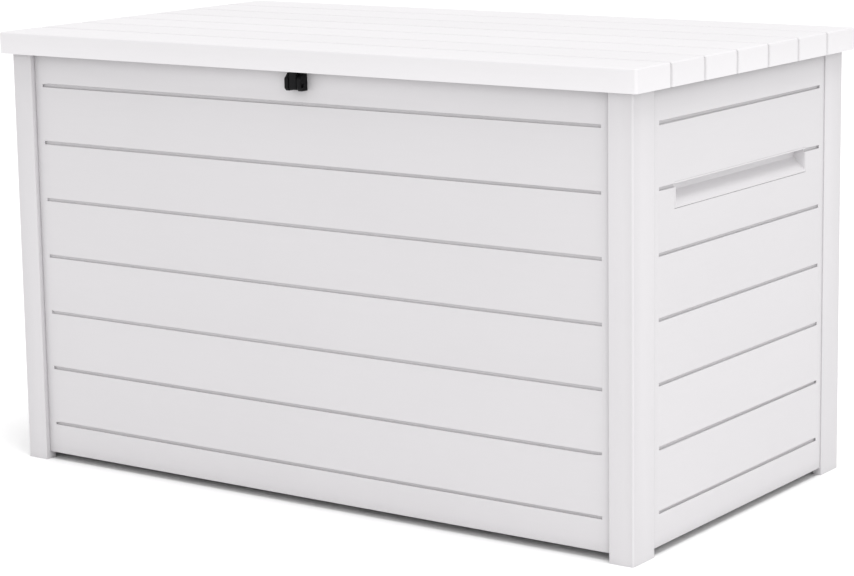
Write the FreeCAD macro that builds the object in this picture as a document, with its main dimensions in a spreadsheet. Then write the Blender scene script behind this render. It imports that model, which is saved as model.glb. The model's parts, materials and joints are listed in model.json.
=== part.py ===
import FreeCAD, Part

"""Resin deck storage box: four ribbed wall panels keyed into four corner posts, a floor, a double-skin
lid on four pinned hinges, two gas struts and a padlock hasp.

Millimetres. +X runs along the length, the front faces -Y, +Z is up, and the origin is the middle of
the footprint on the ground.
"""

import math
import os

import Sketcher
from FreeCAD import Placement, Rotation, Vector

doc = FreeCAD.newDocument("deck_storage_box")

DIMENSIONS = {
    # clearances between parts that stay put, and between parts that are dropped in or slide past
    "fit_gap": 0.2,
    "loose_gap": 0.5,
    # lid and overall size
    "lid_length": 1470,
    "lid_depth": 825,
    "overall_height": 872,
    "lid_rim_height": 43,
    "lid_overhang": 18,
    "lid_skin": 4,
    "lid_end_wall": 7,
    "lid_corner_radius": 6,
    "lid_edge_radius": 4,
    "lid_rib_depth": 6,
    "lid_rib_width": 12,
    "plank_count": 7,
    "plank_groove_width": 6,
    "plank_groove_depth": 3.5,
    # walls
    "wall_top": 845,
    "wall_bottom": 15,
    "wall_thickness": 16,
    "wall_skin": 3.5,
    "front_recess": 10,
    "side_recess": 2,
    "tongue_setback": 4,
    "tongue_thickness": 8,
    "tongue_depth": 10,
    "ledge_depth": 6,
    "ledge_height": 6,
    "groove_top": 767,
    "board_pitch": 115,
    "groove_count": 7,
    "groove_width": 6,
    "groove_depth": 4,
    "groove_end_gap": 20,
    "rib_width": 4,
    "groove_rib_width": 12,
    "front_cell_count": 8,
    "side_cell_count": 4,
    # corner posts
    "post_front_width": 49,
    "post_side_width": 71.5,
    "post_shell": 3.5,
    "post_cap": 4,
    "post_edge_radius": 3,
    # carrying pockets in the end walls
    "pocket_length": 490,
    "pocket_bottom": 614,
    "pocket_depth": 24,
    "pocket_wall": 3,
    "cup_screw_offset": 9.5,
    "cup_screw_height": 629,
    # floor
    "floor_bottom": 21,
    "floor_height": 20,
    "floor_skin": 3.5,
    "floor_columns": 10,
    "floor_rows": 5,
    "floor_foot_radius": 22,
    "floor_foot_across": 450,
    "floor_foot_back": 180,
    # lid liner and its stiffening bars
    "liner_bottom": 846,
    "liner_skin": 3,
    "liner_half_length": 726,
    "liner_front": 407,
    "liner_back": 388,
    "liner_screw_inner": 340,
    "liner_screw_outer": 660,
    "liner_screw_front": 345,
    "liner_screw_back": 300,
    "field_left": 625,
    "field_length": 210,
    "field_columns": 5,
    "field_front": 310,
    "field_depth": 180,
    "field_rows": 3,
    "field_shift": 30,
    "cross_rib_place": 600,
    "cross_rib_count": 9,
    "bar_length": 1320,
    "bar_width": 30,
    "bar_height": 8,
    "bar_wall": 1.5,
    "bar_offset": 235,
    # hinges
    "hinge_axis_back": 401,
    "hinge_axis_height": 836,
    "knuckle_radius": 6.5,
    "pin_radius": 3,
    "pin_overhang": 2,
    "pin_running_gap": 0.06,
    "pin_head_radius": 4.5,
    "pin_head_height": 1.5,
    "leaf_half_width": 35,
    "knuckle_half_width": 11,
    "knuckle_side_gap": 1,
    "leaf_thickness": 3,
    "leaf_bottom": 788,
    "lid_leaf_thickness": 4,
    "lid_leaf_front": 348,
    "lid_leaf_screw_back": 358,
    "inner_hinge_place": 182,
    "outer_hinge_place": 545,
    # screws
    "screw_radius": 2,
    "screw_gap": 0.1,
    "screw_head_radius": 4,
    "screw_head_height": 2.2,
    "screw_boss_radius": 5.5,
    "boss_screw_length": 12,
    "leaf_screw_offset": 22,
    "leaf_screw_height": 803,
    # gas struts, with their pivots when the lid is shut
    "strut_place": 684,
    "base_pivot_back": 335,
    "base_pivot_height": 600,
    "lid_pivot_back": 345,
    "lid_pivot_height": 812,
    "stud_radius": 4,
    "stud_running_gap": 0.06,
    "stud_float": 1,
    "eye_radius": 8,
    "eye_thickness": 6,
    "neck_radius": 5,
    "flat_gap": 1,
    "shoulder_radius": 6,
    "tube_radius": 9,
    "tube_wall": 1.4,
    "tube_start": 18,
    "tube_length": 148,
    "gland_length": 12,
    "gland_cap": 3,
    "rod_radius": 4,
    "rod_slide_gap": 0.04,
    "thread_radius": 3,
    "thread_stop": 4,
    "collar_wall": 2.5,
    "piston_start": 34,
    "piston_length": 10,
    "slot_travel": 13.5,
    "slot_slope": 25,
    "slot_half_width": 7.2,
    "washer_radius": 9,
    "washer_thickness": 1.5,
    "clip_radius": 7,
    "bracket_thickness": 3,
    "base_bracket_front": 10,
    "base_bracket_back": 22,
    "base_bracket_half_height": 28,
    "bracket_screw_offset": 14,
    "lid_bracket_inset": 6.2,
    "lid_bracket_front": 18,
    "lid_bracket_back": 21,
    "lid_bracket_drop": 15,
    "lid_bracket_flange": 32,
    "lid_bracket_screw_place": 671,
    "lid_bracket_screw_offset": 11,
    # padlock hasp and keeper
    "hasp_half_width": 18.5,
    "hasp_bottom": 793,
    "hasp_top": 826,
    "hasp_plate": 4,
    "hasp_ear_thickness": 8.5,
    "hasp_reach": 22.5,
    "blade_half_width": 8,
    "padlock_hole_radius": 4.5,
    "padlock_hole_height": 803,
    "padlock_hole_reach": 15,
    "ear_chamfer": 5,
    "keeper_screw_inset": 9,
    "hasp_flange": 4,
    "hasp_flange_half_depth": 7,
    "hasp_screw_across": 13.5,
    "blade_half_depth": 6.5,
    "blade_bottom": 795,
}

sheet = doc.addObject("Spreadsheet::Sheet", "dims")
for row, (alias, value) in enumerate(DIMENSIONS.items(), start=1):
    sheet.set("A%d" % row, alias)
    sheet.set("B%d" % row, str(value))
    sheet.setAlias("B%d" % row, alias)
doc.recompute()

# Lengths used again and again, as expressions of the sheet.
BODY_HALF_LENGTH = "(dims.lid_length / 2 - dims.lid_overhang)"
BODY_HALF_DEPTH = "(dims.lid_depth / 2 - dims.lid_overhang)"
FRONT_FACE = "(dims.lid_depth / 2 - dims.lid_overhang - dims.front_recess)"
SIDE_FACE = "(dims.lid_length / 2 - dims.lid_overhang - dims.side_recess)"
INNER_HALF_DEPTH = "(dims.lid_depth / 2 - dims.lid_overhang - dims.front_recess - dims.wall_thickness)"
INNER_HALF_LENGTH = "(dims.lid_length / 2 - dims.lid_overhang - dims.side_recess - dims.wall_thickness)"
PLANK_PITCH = "(dims.lid_depth / dims.plank_count)"
LOWEST_GROOVE = "(dims.groove_top - (dims.groove_count - 1) * dims.board_pitch)"

SAME_PLACE = 0.1      # two places nearer than this are the same
PARALLEL = 0.999      # cosine above which two directions are parallel
SMALLEST_CUT = 0.01   # cubic millimetres; any real cut takes away more

subparts = []


def number(expression):
    """The value of an expression of the sheet, for the few places that need it in code."""
    value = sheet.evalExpression(expression)
    return float(getattr(value, "Value", value))


# ---------------------------------------------------------------- sketches and features

def origin_feature(body, role):
    return next(feature for feature in body.Origin.OriginFeatures if feature.Role == role)


def new_body(label, turned=False):
    """An empty body; a turned one stands half a turn round the vertical axis."""
    body = doc.addObject("PartDesign::Body", label)
    body.Label = label
    body.AllowCompound = False
    body.Placement = Placement(Vector(0, 0, 0), Rotation(Vector(0, 0, 1), 180 if turned else 0))
    subparts.append(body)
    return body


def sketch_on(body, name, role, height=None):
    """A sketch on an origin plane, moved along the plane's normal by an expression."""
    sketch = body.newObject("Sketcher::SketchObject", body.Name + "_" + name)
    sketch.AttachmentSupport = [(origin_feature(body, role), "")]
    sketch.MapMode = "FlatFace"
    if height:
        sketch.setExpression("AttachmentOffset.Base.z", height)
    return sketch


def pin_point(sketch, edge, point, across, up):
    """Dimension one sketch point from the sketch origin."""
    for kind, expression in (("DistanceX", across), ("DistanceY", up)):
        constraint = sketch.addConstraint(Sketcher.Constraint(kind, -1, 1, edge, point, 1.0))
        name = "%s_%d_%d" % (kind, edge, point)
        sketch.renameConstraint(constraint, name)
        sketch.setExpression("Constraints." + name, expression)


def polygon(sketch, corners):
    """A closed outline through corners given as pairs of expressions."""
    count = len(corners)
    first = sketch.GeometryCount
    angles = [2 * math.pi * k / count for k in range(count)]
    ring = [Vector(math.cos(angle), math.sin(angle), 0) for angle in angles]
    for k in range(count):
        sketch.addGeometry(Part.LineSegment(ring[k], ring[(k + 1) % count]), False)
    for k in range(count):
        sketch.addConstraint(Sketcher.Constraint("Coincident", first + k, 2, first + (k + 1) % count, 1))
    for k, (across, up) in enumerate(corners):
        pin_point(sketch, first + k, 1, across, up)


def rectangle(sketch, left, bottom, right, top):
    polygon(sketch, [(left, bottom), (right, bottom), (right, top), (left, top)])


def clipped_rectangle(sketch, half_width, bottom, top, cut):
    """A rectangle about the vertical sketch axis, with its corners cut off."""
    side = "(%s - %s)" % (half_width, cut)
    low = "(%s + %s)" % (bottom, cut)
    high = "(%s - %s)" % (top, cut)
    polygon(sketch, [("-" + side, bottom), (side, bottom), (half_width, low), (half_width, high),
                     (side, top), ("-" + side, top), ("-" + half_width, high), ("-" + half_width, low)])


def circle(sketch, across, up, radius):
    edge = sketch.addGeometry(Part.Circle(Vector(1, 1, 0), Vector(0, 0, 1), 1), False)
    pin_point(sketch, edge, 3, across, up)
    constraint = sketch.addConstraint(Sketcher.Constraint("Radius", edge, 1.0))
    name = "Radius_%d" % edge
    sketch.renameConstraint(constraint, name)
    sketch.setExpression("Constraints." + name, radius)


def extrude(body, kind, sketch, length, backwards=False, both_ways=False):
    feature = body.newObject("PartDesign::" + kind, sketch.Name + "_" + kind.lower())
    feature.Profile = sketch
    feature.Reversed = backwards
    feature.Midplane = both_ways
    feature.setExpression("Length", length)
    body.Tip = feature
    return feature


def pad(body, sketch, length, **options):
    return extrude(body, "Pad", sketch, length, **options)


def pocket(body, sketch, length, **options):
    """Cut a sketch into the body, and make sure that it really took material away."""
    doc.recompute()
    before = body.Shape.Volume
    feature = extrude(body, "Pocket", sketch, length, **options)
    doc.recompute()
    if body.Shape.Volume >= before - SMALLEST_CUT:
        raise RuntimeError("pocket cuts nothing: " + feature.Name)
    return feature


def pattern(body, feature, role, length, count, backwards=False):
    """Repeat a feature along an origin axis; length reaches from the first to the last."""
    repeat = body.newObject("PartDesign::LinearPattern", feature.Name + "_row")
    repeat.Originals = [feature]
    repeat.Direction = (origin_feature(body, role), [""])
    repeat.Reversed = backwards
    repeat.setExpression("Length", length)
    repeat.setExpression("Occurrences", count)
    body.Tip = repeat
    return repeat


def grid(body, feature, roles, lengths, counts):
    """Repeat a feature along two origin axes."""
    repeat = pattern(body, feature, roles[0], lengths[0], counts[0])
    repeat.Direction2 = (origin_feature(body, roles[1]), [""])
    repeat.setExpression("Length2", lengths[1])
    repeat.setExpression("Occurrences2", counts[1])
    return repeat


def round_edges(body, radius, wanted):
    """Fillet every edge of the body's shape for which wanted(edge) is true."""
    doc.recompute()
    base = body.Tip
    names = ["Edge%d" % k for k, edge in enumerate(base.Shape.Edges, start=1) if wanted(edge)]
    fillet = body.newObject("PartDesign::Fillet", body.Name + "_round")
    fillet.Base = (base, names)
    fillet.setExpression("Radius", radius)
    body.Tip = fillet
    return fillet


def edge_runs_along(edge, axis):
    start, end = edge.Vertexes[0].Point, edge.Vertexes[-1].Point
    run = end - start
    return run.Length > 1 and abs(run.dot(axis)) > PARALLEL * run.Length


# ---------------------------------------------------------------- primitives

ALONG = {
    "+X": Rotation(Vector(0, 1, 0), 90),
    "-X": Rotation(Vector(0, 1, 0), -90),
    "+Y": Rotation(Vector(1, 0, 0), -90),
    "-Y": Rotation(Vector(1, 0, 0), 90),
    "+Z": Rotation(),
    "-Z": Rotation(Vector(1, 0, 0), 180),
}


def cylinder(name, place, direction, radius, height):
    """A cylinder that starts at place and runs along a named direction."""
    piece = doc.addObject("Part::Cylinder", name)
    piece.Placement = Placement(Vector(0, 0, 0), ALONG[direction])
    for axis, expression in zip("xyz", place):
        piece.setExpression("Placement.Base." + axis, expression)
    piece.setExpression("Radius", radius)
    piece.setExpression("Height", height)
    return piece


def fuse(name, pieces):
    joined = doc.addObject("Part::MultiFuse", name)
    joined.Shapes = pieces
    return joined


def cut(name, base, tool):
    rest = doc.addObject("Part::Cut", name)
    rest.Base = base
    rest.Tool = tool
    return rest


def group(label, pieces):
    """Several pieces as one sub-part."""
    subparts.append(fuse(label, pieces))


def screws(label, places, direction, length):
    """A group of pan-head screws. Each place is the underside of a head; the shank runs along direction."""
    opposite = {"+": "-", "-": "+"}[direction[0]] + direction[1]
    pieces = []
    for k, place in enumerate(places):
        shank = cylinder("%s_shank_%d" % (label, k), place, direction, "dims.screw_radius", length)
        head = cylinder("%s_head_%d" % (label, k), place, opposite,
                        "dims.screw_head_radius", "dims.screw_head_height")
        pieces += [shank, head]
    group(label, pieces)


SCREW_HOLE = "dims.screw_radius + dims.screw_gap"


# ---------------------------------------------------------------- walls

def rib_cells(body, role, inner_plane, axis, half_width, count):
    """Open the back of a solid wall into cells, one row between each pair of grooves."""
    pitch = "((2 * %s - 2 * dims.groove_rib_width + dims.rib_width) / %s)" % (half_width, count)
    left = "-%s + dims.groove_rib_width" % half_width
    rows = [
        ("bottom_cell", "dims.wall_bottom + dims.groove_rib_width",
         LOWEST_GROOVE + " - dims.groove_rib_width / 2"),
        ("board_cell", LOWEST_GROOVE + " + dims.groove_rib_width / 2",
         LOWEST_GROOVE + " + dims.board_pitch - dims.groove_rib_width / 2"),
        ("top_cell", "dims.groove_top + dims.groove_rib_width / 2", "dims.wall_top - dims.groove_rib_width"),
    ]
    reach = "%s * (%s - 1)" % (pitch, count)
    for name, low, high in rows:
        sketch = sketch_on(body, name, role, inner_plane)
        rectangle(sketch, left, low, "%s + %s - dims.rib_width" % (left, pitch), high)
        cell = pocket(body, sketch, "dims.wall_thickness - dims.wall_skin", backwards=True)
        if name == "board_cell":
            grid(body, cell, (axis, "Z_Axis"),
                 (reach, "dims.board_pitch * (dims.groove_count - 2)"), (count, "dims.groove_count - 1"))
        else:
            pattern(body, cell, axis, reach, count)


def board_grooves(body, role, face, half_width):
    """Horizontal grooves that part the wall's outer face into boards."""
    sketch = sketch_on(body, "groove", role, face)
    end = "(%s - dims.groove_end_gap)" % half_width
    rectangle(sketch, "-" + end, LOWEST_GROOVE + " - dims.groove_width / 2",
              end, LOWEST_GROOVE + " + dims.groove_width / 2")
    groove = pocket(body, sketch, "dims.groove_depth")
    pattern(body, groove, "Z_Axis", "dims.board_pitch * (dims.groove_count - 1)", "dims.groove_count")


def ribbed_wall(label, turned, role, axis, face, half_width, count):
    """A wall panel with a ribbed back and a tongue along both ends, without its grooves."""
    body = new_body(label, turned)
    outline = sketch_on(body, "outline", role, face)
    rectangle(outline, "-" + half_width, "dims.wall_bottom", half_width, "dims.wall_top")
    pad(body, outline, "dims.wall_thickness", backwards=True)
    tongue = sketch_on(body, "tongue", role, face + " - dims.tongue_setback")
    reach = "(%s + dims.tongue_depth)" % half_width
    tongue_top = "dims.wall_top - dims.post_cap - dims.fit_gap"
    rectangle(tongue, "-" + reach, "dims.wall_bottom", reach, tongue_top)
    pad(body, tongue, "dims.tongue_thickness", backwards=True)
    rib_cells(body, role, face + " - dims.wall_thickness", axis, half_width, count)
    return body


def long_wall(label, turned, screw_places):
    """Front wall, or the same moulding turned round for the back. Built facing -Y."""
    half_width = "(%s - dims.post_front_width)" % BODY_HALF_LENGTH
    body = ribbed_wall(label, turned, "XZ_Plane", "X_Axis", FRONT_FACE, half_width, "dims.front_cell_count")
    board_grooves(body, "XZ_Plane", FRONT_FACE, half_width)

    ledge = sketch_on(body, "ledge", "XZ_Plane", INNER_HALF_DEPTH)
    rectangle(ledge, "-" + half_width, "dims.wall_bottom", half_width, "dims.wall_bottom + dims.ledge_height")
    pad(body, ledge, "dims.ledge_depth", backwards=True)

    boss = sketch_on(body, "boss", "XZ_Plane", FRONT_FACE + " - dims.wall_skin")
    hole = sketch_on(body, "screw_hole", "XZ_Plane", FRONT_FACE)
    for across, up in screw_places:
        circle(boss, across, up, "dims.screw_boss_radius")
        circle(hole, across, up, SCREW_HOLE)
    pad(body, boss, "dims.wall_thickness - dims.wall_skin", backwards=True)
    pocket(body, hole, "dims.wall_thickness")


MOUTH_TOP = "(dims.groove_top - dims.board_pitch + dims.groove_width / 2)"
CUP_SCREWS = [(line + "(dims.pocket_length / 2 + dims.cup_screw_offset)", "dims.cup_screw_height")
              for line in ("-", "")]


def end_wall(label, turned):
    """Right wall with the window for its carrying cup, or the same moulding turned round. Built facing +X."""
    half_width = "(%s - dims.post_side_width)" % BODY_HALF_DEPTH
    body = ribbed_wall(label, turned, "YZ_Plane", "Y_Axis", SIDE_FACE, half_width, "dims.side_cell_count")
    board_grooves(body, "YZ_Plane", SIDE_FACE, half_width)

    boss = sketch_on(body, "boss", "YZ_Plane", SIDE_FACE + " - dims.wall_skin")
    hole = sketch_on(body, "screw_hole", "YZ_Plane", SIDE_FACE + " - dims.wall_skin")
    for across, up in CUP_SCREWS:
        circle(boss, across, up, "dims.screw_boss_radius")
        circle(hole, across, up, SCREW_HOLE)
    pad(body, boss, "dims.wall_thickness - dims.wall_skin", backwards=True)
    pocket(body, hole, "dims.wall_thickness - dims.wall_skin")

    window = sketch_on(body, "window", "YZ_Plane", SIDE_FACE)
    margin = "(dims.pocket_wall + dims.fit_gap)"
    half_window = "(dims.pocket_length / 2 + %s)" % margin
    rectangle(window, "-" + half_window, "dims.pocket_bottom - " + margin,
              half_window, "%s + %s" % (MOUTH_TOP, margin))
    pocket(body, window, "dims.wall_thickness")


def handle_cup(label, turned):
    """Carrying cup that fills the end wall's window, flush outside and flanged inside. Built facing +X.

    It is a wedge: a flat ceiling for the fingers to lift by, and a floor that slopes down and out.
    """
    body = new_body(label, turned)
    back = "(%s - dims.pocket_depth)" % SIDE_FACE
    wall = "dims.pocket_wall"
    slope_top = "(dims.pocket_bottom + dims.pocket_depth)"
    housing = sketch_on(body, "housing", "XZ_Plane")
    polygon(housing, [
        (SIDE_FACE, "dims.pocket_bottom - " + wall),
        (SIDE_FACE, "%s + %s" % (MOUTH_TOP, wall)),
        (back + " - " + wall, "%s + %s" % (MOUTH_TOP, wall)),
        (back + " - " + wall, slope_top + " - " + wall),
    ])
    pad(body, housing, "dims.pocket_length + 2 * dims.pocket_wall", both_ways=True)
    flange = sketch_on(body, "flange", "YZ_Plane", "%s - %s" % (INNER_HALF_LENGTH, wall))
    half_flange = "(dims.pocket_length / 2 + 2 * dims.cup_screw_offset)"
    rectangle(flange, "-" + half_flange, "dims.cup_screw_height - dims.cup_screw_offset",
              half_flange, MOUTH_TOP + " + dims.cup_screw_offset")
    pad(body, flange, wall)
    hollow = sketch_on(body, "hollow", "XZ_Plane")
    polygon(hollow, [
        (SIDE_FACE, "dims.pocket_bottom"),
        (SIDE_FACE, MOUTH_TOP),
        (back, MOUTH_TOP),
        (back, slope_top),
    ])
    pocket(body, hollow, "dims.pocket_length", both_ways=True)
    groove = sketch_on(body, "groove", "YZ_Plane", SIDE_FACE)
    end = "(dims.pocket_length / 2 + 2 * dims.pocket_wall)"
    rectangle(groove, "-" + end, MOUTH_TOP + " - dims.groove_width", end, MOUTH_TOP)
    pocket(body, groove, "dims.groove_depth")
    holes = sketch_on(body, "screw_hole", "YZ_Plane", INNER_HALF_LENGTH)
    for across, up in CUP_SCREWS:
        circle(holes, across, up, SCREW_HOLE)
    pocket(body, holes, "2 * dims.pocket_wall")


# ---------------------------------------------------------------- posts and floor

BRACKET_SCREWS = [
    ("dims.base_pivot_back + dims.bracket_screw_offset",
     "dims.base_pivot_height %s dims.bracket_screw_offset" % way)
    for way in ("+", "-")
]


def corner_post(label, mirrored, turned, holds_strut):
    """Hollow L-shaped post that runs to the ground as a foot. Built at the front left corner."""
    body = new_body(label, turned)

    def across(expression):
        return "(%s)" % expression if mirrored else "-(%s)" % expression

    def back(expression):
        return "-(%s)" % expression

    shell = "dims.post_shell"
    side_end = BODY_HALF_DEPTH + " - dims.post_side_width"
    front_end = BODY_HALF_LENGTH + " - dims.post_front_width"
    outline = sketch_on(body, "outline", "XY_Plane")
    polygon(outline, [
        (across(BODY_HALF_LENGTH), back(BODY_HALF_DEPTH)),
        (across(front_end), back(BODY_HALF_DEPTH)),
        (across(front_end), back(INNER_HALF_DEPTH)),
        (across(INNER_HALF_LENGTH), back(INNER_HALF_DEPTH)),
        (across(INNER_HALF_LENGTH), back(side_end)),
        (across(BODY_HALF_LENGTH), back(side_end)),
    ])
    pad(body, outline, "dims.wall_top")

    corner = Vector(number(across(BODY_HALF_LENGTH)), number(back(BODY_HALF_DEPTH)), 0)

    def is_outer_corner(edge):
        middle = edge.CenterOfMass
        away = (Vector(middle.x, middle.y, 0) - corner).Length
        return edge_runs_along(edge, Vector(0, 0, 1)) and away < SAME_PLACE

    round_edges(body, "dims.post_edge_radius", is_outer_corner)

    # The hollow stops short of the slots that hold the walls' tongues.
    slot_end = "dims.tongue_depth + dims.fit_gap + dims.post_shell"
    hollow = sketch_on(body, "hollow", "XY_Plane")
    polygon(hollow, [
        (across(BODY_HALF_LENGTH + " - " + shell), back(BODY_HALF_DEPTH + " - " + shell)),
        (across("%s + %s" % (front_end, slot_end)), back(BODY_HALF_DEPTH + " - " + shell)),
        (across("%s + %s" % (front_end, slot_end)), back(INNER_HALF_DEPTH + " + " + shell)),
        (across(INNER_HALF_LENGTH + " + " + shell), back(INNER_HALF_DEPTH + " + " + shell)),
        (across(INNER_HALF_LENGTH + " + " + shell), back("%s + %s" % (side_end, slot_end))),
        (across(BODY_HALF_LENGTH + " - " + shell), back("%s + %s" % (side_end, slot_end))),
    ])
    pocket(body, hollow, "dims.wall_top - dims.post_cap", backwards=True)

    slots = sketch_on(body, "slots", "XY_Plane", "dims.wall_bottom - dims.fit_gap")
    depth = "dims.tongue_depth + dims.fit_gap"
    near = "dims.tongue_setback - dims.fit_gap"
    far = "dims.tongue_setback + dims.tongue_thickness + dims.fit_gap"
    polygon(slots, [
        (across(front_end), back("%s - (%s)" % (FRONT_FACE, near))),
        (across("%s + %s" % (front_end, depth)), back("%s - (%s)" % (FRONT_FACE, near))),
        (across("%s + %s" % (front_end, depth)), back("%s - (%s)" % (FRONT_FACE, far))),
        (across(front_end), back("%s - (%s)" % (FRONT_FACE, far))),
    ])
    polygon(slots, [
        (across("%s - (%s)" % (SIDE_FACE, near)), back(side_end)),
        (across("%s - (%s)" % (SIDE_FACE, near)), back("%s + %s" % (side_end, depth))),
        (across("%s - (%s)" % (SIDE_FACE, far)), back("%s + %s" % (side_end, depth))),
        (across("%s - (%s)" % (SIDE_FACE, far)), back(side_end)),
    ])
    pocket(body, slots, "dims.wall_top - dims.post_cap - dims.wall_bottom + dims.fit_gap", backwards=True)

    if holds_strut:
        holes = sketch_on(body, "screw_holes", "YZ_Plane", across(INNER_HALF_LENGTH))
        for screw_back, height in BRACKET_SCREWS:
            circle(holes, back(screw_back), height, SCREW_HOLE)
        pocket(body, holes, "2 * dims.post_shell + 1", both_ways=True)


def floor_panel():
    """Ribbed floor that sits on the long walls' ledges and on six round feet of its own."""
    body = new_body("floor_panel")
    half_length = "(%s - dims.loose_gap)" % INNER_HALF_LENGTH
    half_depth = "(%s - dims.loose_gap)" % INNER_HALF_DEPTH
    outline = sketch_on(body, "outline", "XY_Plane", "dims.floor_bottom")
    rectangle(outline, "-" + half_length, "-" + half_depth, half_length, half_depth)
    pad(body, outline, "dims.floor_height")

    column = "((2 * %s - 2 * dims.groove_rib_width + dims.rib_width) / dims.floor_columns)" % half_length
    line = "((2 * %s - 2 * dims.groove_rib_width + dims.rib_width) / dims.floor_rows)" % half_depth
    left = "-%s + dims.groove_rib_width" % half_length
    front = "-%s + dims.groove_rib_width" % half_depth
    cells = sketch_on(body, "cell", "XY_Plane", "dims.floor_bottom")
    rectangle(cells, left, front,
              "%s + %s - dims.rib_width" % (left, column), "%s + %s - dims.rib_width" % (front, line))
    cell = pocket(body, cells, "dims.floor_height - dims.floor_skin", backwards=True)
    grid(body, cell, ("X_Axis", "Y_Axis"),
         ("%s * (dims.floor_columns - 1)" % column, "%s * (dims.floor_rows - 1)" % line),
         ("dims.floor_columns", "dims.floor_rows"))

    feet = sketch_on(body, "feet", "XY_Plane")
    for across in ("-dims.floor_foot_across", "0", "dims.floor_foot_across"):
        for back in ("-dims.floor_foot_back", "dims.floor_foot_back"):
            circle(feet, across, back, "dims.floor_foot_radius")
    pad(body, feet, "dims.floor_bottom + dims.floor_height - dims.floor_skin / 2")


# ---------------------------------------------------------------- lid

LINER_TOP = "(dims.liner_bottom + dims.liner_skin)"
LID_TOP_INSIDE = "(dims.overall_height - dims.lid_skin)"
LINER_SCREWS = [
    (across, back)
    for back in ("-dims.liner_screw_front", "dims.liner_screw_back")
    for across in ("-dims.liner_screw_outer", "-dims.liner_screw_inner", "0",
                   "dims.liner_screw_inner", "dims.liner_screw_outer")
]
HASP_SCREWS = [
    ("-dims.hasp_screw_across", "-(%s)" % (FRONT_FACE + " + dims.padlock_hole_reach")),
    ("dims.hasp_screw_across", "-(%s)" % (FRONT_FACE + " + dims.padlock_hole_reach")),
]
STRUT_LID_SCREWS = [
    (side + "dims.lid_bracket_screw_place", back)
    for side in ("-", "")
    for back in ("dims.lid_pivot_back - dims.lid_bracket_screw_offset",
                 "dims.lid_pivot_back + dims.lid_bracket_screw_offset")
]
HINGE_PLACES = ["-dims.outer_hinge_place", "-dims.inner_hinge_place",
                "dims.inner_hinge_place", "dims.outer_hinge_place"]
LEAF_SIDES = ("- dims.leaf_screw_offset", "+ dims.leaf_screw_offset")
LID_LEAF_SCREWS = [("%s %s" % (place, side), "dims.lid_leaf_screw_back")
                   for place in HINGE_PLACES for side in LEAF_SIDES]


def lid_top_shell():
    """The lid's outer skin: seven planks on top and a rim all round."""
    body = new_body("lid_top_shell")
    half_length = "(dims.lid_length / 2)"
    half_depth = "(dims.lid_depth / 2)"
    rim_bottom = "(dims.overall_height - dims.lid_rim_height)"
    outline = sketch_on(body, "outline", "XY_Plane", rim_bottom)
    rectangle(outline, "-" + half_length, "-" + half_depth, half_length, half_depth)
    pad(body, outline, "dims.lid_rim_height")
    round_edges(body, "dims.lid_corner_radius", lambda edge: edge_runs_along(edge, Vector(0, 0, 1)))
    top = number("dims.overall_height")
    softened = round_edges(body, "dims.lid_edge_radius",
                           lambda edge: abs(edge.BoundBox.ZMin - top) < SAME_PLACE)
    softened.Label = "lid_top_edge_round"

    inner_length = "(%s - dims.lid_end_wall)" % half_length
    inner_depth = "(%s - dims.lid_skin)" % half_depth
    hollow = sketch_on(body, "hollow", "XY_Plane", rim_bottom)
    clipped_rectangle(hollow, inner_length, "-" + inner_depth, inner_depth, "dims.lid_corner_radius")
    pocket(body, hollow, "dims.lid_rim_height - dims.lid_skin", backwards=True)

    first_groove = "(-%s + %s)" % (half_depth, PLANK_PITCH)
    reach = "%s * (dims.plank_count - 2)" % PLANK_PITCH
    count = "dims.plank_count - 1"
    rib = sketch_on(body, "rib", "XY_Plane", LID_TOP_INSIDE + " - dims.lid_rib_depth")
    rectangle(rib, "-" + inner_length, first_groove + " - dims.lid_rib_width / 2",
              inner_length, first_groove + " + dims.lid_rib_width / 2")
    pattern(body, pad(body, rib, "dims.lid_rib_depth"), "Y_Axis", reach, count)

    cross = sketch_on(body, "cross_rib", "XY_Plane", LID_TOP_INSIDE + " - dims.lid_rib_depth")
    rectangle(cross, "-dims.cross_rib_place - dims.rib_width / 2", "-" + inner_depth,
              "-dims.cross_rib_place + dims.rib_width / 2", inner_depth)
    pattern(body, pad(body, cross, "dims.lid_rib_depth"), "X_Axis",
            "2 * dims.cross_rib_place", "dims.cross_rib_count")

    boss = sketch_on(body, "boss", "XY_Plane", LINER_TOP)
    hole = sketch_on(body, "screw_hole", "XY_Plane", LINER_TOP)
    for across, back in LINER_SCREWS + HASP_SCREWS + STRUT_LID_SCREWS:
        circle(boss, across, back, "dims.screw_boss_radius")
        circle(hole, across, back, SCREW_HOLE)
    pad(body, boss, "%s - %s" % (LID_TOP_INSIDE, LINER_TOP))
    pocket(body, hole, "%s - %s" % (LID_TOP_INSIDE, LINER_TOP), backwards=True)

    groove = sketch_on(body, "groove", "XY_Plane", "dims.overall_height")
    low = first_groove + " - dims.plank_groove_width / 2"
    high = first_groove + " + dims.plank_groove_width / 2"
    rectangle(groove, "-" + half_length, low, half_length, high)
    pattern(body, pocket(body, groove, "dims.plank_groove_depth"), "Y_Axis", reach, count)
    notch = sketch_on(body, "notch", "XY_Plane", "dims.overall_height")
    floor_of_notch = "(%s - dims.plank_groove_depth)" % half_length
    rectangle(notch, "-" + half_length, low, "-" + floor_of_notch, high)
    rectangle(notch, floor_of_notch, low, half_length, high)
    pattern(body, pocket(body, notch, "dims.lid_rim_height"), "Y_Axis", reach, count)


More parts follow.
